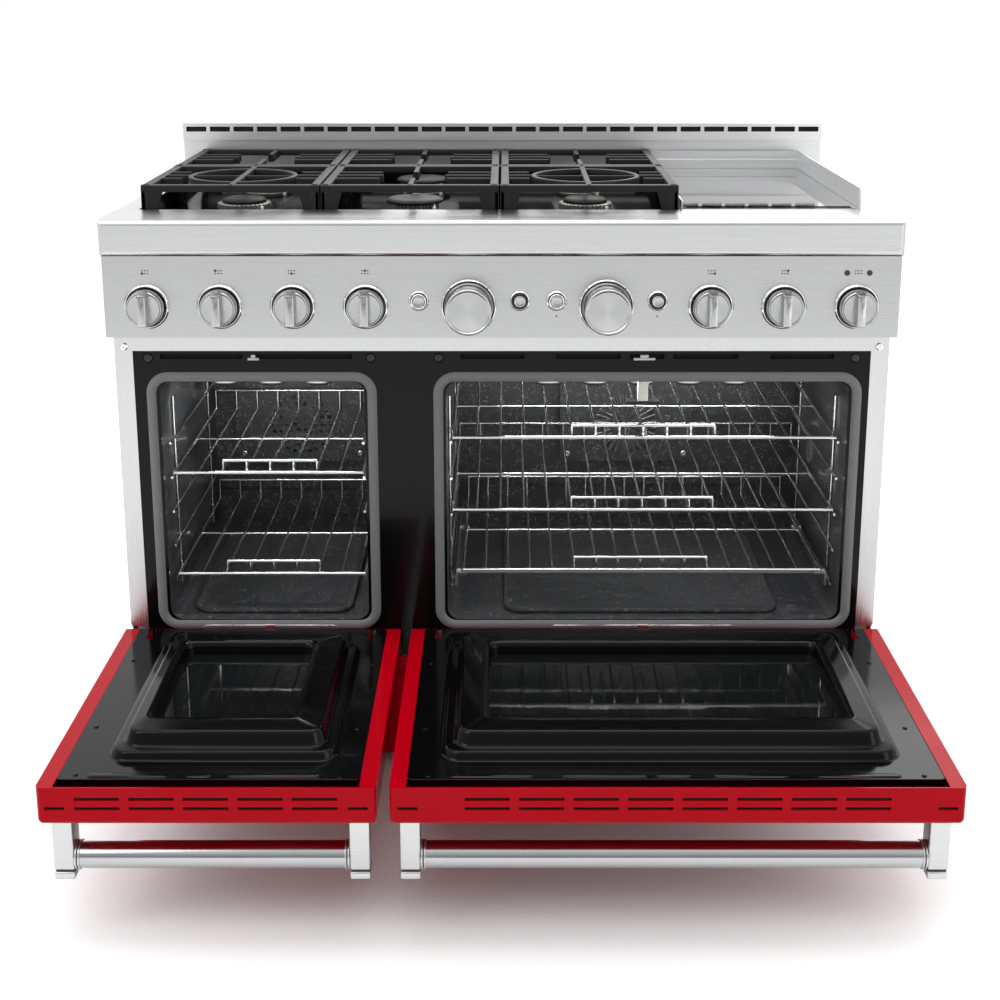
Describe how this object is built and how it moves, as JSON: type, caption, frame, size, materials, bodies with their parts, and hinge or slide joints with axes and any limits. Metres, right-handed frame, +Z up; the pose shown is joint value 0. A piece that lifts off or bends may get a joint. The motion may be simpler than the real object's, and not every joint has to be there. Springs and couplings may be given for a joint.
{
  "type": "freestanding gas range",
  "caption": "Freestanding gas range: burners and a griddle over a narrow and a wide oven, with drop-down doors, sliding racks, knobs and dials.",
  "frame": {"origin": "on the floor under the middle of the whole range's box, with both oven doors lying open", "axes": "+Z up, the front faces -Y, +X to the right of someone facing the front"},
  "size_m": [1.216, 1.188, 1],
  "materials": {
    "stainless": "brushed",
    "polished_steel": "polished",
    "satin_knob": "satin",
    "handle_steel": "brushed",
    "red_enamel": "gloss",
    "black_enamel": "gloss",
    "oven_enamel": "speckled",
    "gasket_braid": "woven glass fibre",
    "dark_glass": "clear",
    "lamp_glass": "ribbed",
    "chrome_wire": "bright",
    "cast_iron": "matt enamel",
    "burner_alloy": "as cast",
    "plated_steel": "zinc plated",
    "gas_pipe": "yellow chromate"
  },
  "bodies": {
    "root": {"side_panels": "stainless", "rear_panel": "plated_steel", "base_frame": "plated_steel", "kick_plate": "red_enamel", "front_frame": "black_enamel", "front_trim": "stainless", "control_panel": "stainless", "front_ledge": "stainless", "cooktop_pan": "stainless", "backguard": "stainless", "griddle_plate": "polished_steel", "griddle_splash": "polished_steel", "small_oven_liner": "oven_enamel", "large_oven_liner": "oven_enamel", "oven_gaskets": "gasket_braid", "fan_covers": "oven_enamel", "oven_lamps": "lamp_glass", "broil_elements": "plated_steel", "oven_floor_pans": "oven_enamel", "control_bezels": "polished_steel", "fixing_screws": "plated_steel", "burner_bases": "burner_alloy", "burner_caps": "cast_iron", "gas_manifold": "gas_pipe", "hinge_arms": "plated_steel", "rack_ladders": "chrome_wire", "fan_motors": "plated_steel", "rollout_frame": "chrome_wire", "grate_left_pair": "cast_iron", "grate_centre_pair": "cast_iron", "grate_right_pair": "cast_iron"},
    "feet": {"levelling_feet": "plated_steel"},
    "small_door": {"small_door_skin": "red_enamel", "small_door_liner": "black_enamel", "small_door_glass": "dark_glass", "small_door_handle": "handle_steel"},
    "large_door": {"large_door_skin": "red_enamel", "large_door_liner": "black_enamel", "large_door_glass": "dark_glass", "large_door_handle": "handle_steel"},
    "small_rack_lower": {"small_rack_lower": "chrome_wire"},
    "small_rack_upper": {"small_rack_upper": "chrome_wire"},
    "large_rack_middle": {"large_rack_middle": "chrome_wire"},
    "large_rack_upper": {"large_rack_upper": "chrome_wire"},
    "rollout_rack": {"rollout_rack": "chrome_wire"},
    "small_oven_fan": {"small_oven_fan": "plated_steel"},
    "large_oven_fan": {"large_oven_fan": "plated_steel"},
    "burner_knob_1": {"burner_knob_1": "satin_knob"},
    "burner_knob_2": {"burner_knob_2": "satin_knob"},
    "burner_knob_3": {"burner_knob_3": "satin_knob"},
    "burner_knob_4": {"burner_knob_4": "satin_knob"},
    "burner_knob_5": {"burner_knob_5": "satin_knob"},
    "burner_knob_6": {"burner_knob_6": "satin_knob"},
    "griddle_knob": {"griddle_knob": "satin_knob"},
    "small_oven_dial": {"small_oven_dial": "satin_knob"},
    "small_oven_light_button": {"small_oven_light_button": "satin_knob"},
    "small_oven_start_button": {"small_oven_start_button": "satin_knob"},
    "large_oven_dial": {"large_oven_dial": "satin_knob"},
    "large_oven_light_button": {"large_oven_light_button": "satin_knob"},
    "large_oven_start_button": {"large_oven_start_button": "satin_knob"}
  },
  "joints": [
    {"name": "small_door_hinge", "type": "hinge", "parent": "root", "child": "small_door", "pos_m": [0, -0.1115, 0.218], "axis": [1, 0, 0], "range_deg": [-90, 0]},
    {"name": "large_door_hinge", "type": "hinge", "parent": "root", "child": "large_door", "pos_m": [0, -0.1115, 0.218], "axis": [1, 0, 0], "range_deg": [-90, 0]},
    {"name": "small_rack_lower_slide", "type": "slide", "parent": "root", "child": "small_rack_lower", "axis": [0, -1, 0], "range_m": [0, 0.24]},
    {"name": "small_rack_upper_slide", "type": "slide", "parent": "root", "child": "small_rack_upper", "axis": [0, -1, 0], "range_m": [0, 0.24]},
    {"name": "large_rack_middle_slide", "type": "slide", "parent": "root", "child": "large_rack_middle", "axis": [0, -1, 0], "range_m": [0, 0.24]},
    {"name": "large_rack_upper_slide", "type": "slide", "parent": "root", "child": "large_rack_upper", "axis": [0, -1, 0], "range_m": [0, 0.24]},
    {"name": "rollout_rack_slide", "type": "slide", "parent": "root", "child": "rollout_rack", "axis": [0, -1, 0], "range_m": [0, 0.3]},
    {"name": "small_oven_fan_spin", "type": "hinge", "parent": "root", "child": "small_oven_fan", "pos_m": [-0.372, 0.36, 0.463], "axis": [0, 1, 0], "continuous": true},
    {"name": "large_oven_fan_spin", "type": "hinge", "parent": "root", "child": "large_oven_fan", "pos_m": [0.229, 0.36, 0.463], "axis": [0, 1, 0], "continuous": true},
    {"name": "feet_screw", "type": "slide", "parent": "root", "child": "feet", "axis": [0, 0, -1], "range_m": [0, 0.035]},
    {"name": "burner_knob_1_turn", "type": "hinge", "parent": "root", "child": "burner_knob_1", "pos_m": [-0.54, -0.13, 0.782], "axis": [0, -1, 0], "range_deg": [0, 270]},
    {"name": "burner_knob_2_turn", "type": "hinge", "parent": "root", "child": "burner_knob_2", "pos_m": [-0.429, -0.13, 0.782], "axis": [0, -1, 0], "range_deg": [0, 270]},
    {"name": "burner_knob_3_turn", "type": "hinge", "parent": "root", "child": "burner_knob_3", "pos_m": [-0.318, -0.13, 0.782], "axis": [0, -1, 0], "range_deg": [0, 270]},
    {"name": "burner_knob_4_turn", "type": "hinge", "parent": "root", "child": "burner_knob_4", "pos_m": [-0.207, -0.13, 0.782], "axis": [0, -1, 0], "range_deg": [0, 270]},
    {"name": "burner_knob_5_turn", "type": "hinge", "parent": "root", "child": "burner_knob_5", "pos_m": [0.318, -0.13, 0.782], "axis": [0, -1, 0], "range_deg": [0, 270]},
    {"name": "burner_knob_6_turn", "type": "hinge", "parent": "root", "child": "burner_knob_6", "pos_m": [0.429, -0.13, 0.782], "axis": [0, -1, 0], "range_deg": [0, 270]},
    {"name": "griddle_knob_turn", "type": "hinge", "parent": "root", "child": "griddle_knob", "pos_m": [0.54, -0.13, 0.782], "axis": [0, -1, 0], "range_deg": [0, 270]},
    {"name": "small_oven_dial_turn", "type": "hinge", "parent": "root", "child": "small_oven_dial", "pos_m": [-0.05, -0.13, 0.782], "axis": [0, 1, 0], "range_deg": [0, 300]},
    {"name": "small_oven_light_button_press", "type": "slide", "parent": "root", "child": "small_oven_light_button", "axis": [0, 1, 0], "range_m": [0, 0.0025], "stiffness_N_per_m": 400},
    {"name": "small_oven_start_button_press", "type": "slide", "parent": "root", "child": "small_oven_start_button", "axis": [0, 1, 0], "range_m": [0, 0.0025], "stiffness_N_per_m": 400},
    {"name": "large_oven_dial_turn", "type": "hinge", "parent": "root", "child": "large_oven_dial", "pos_m": [0.1595, -0.13, 0.782], "axis": [0, 1, 0], "range_deg": [0, 300]},
    {"name": "large_oven_light_button_press", "type": "slide", "parent": "root", "child": "large_oven_light_button", "axis": [0, 1, 0], "range_m": [0, 0.0025], "stiffness_N_per_m": 400},
    {"name": "large_oven_start_button_press", "type": "slide", "parent": "root", "child": "large_oven_start_button", "axis": [0, 1, 0], "range_m": [0, 0.0025], "stiffness_N_per_m": 400}
  ]
}
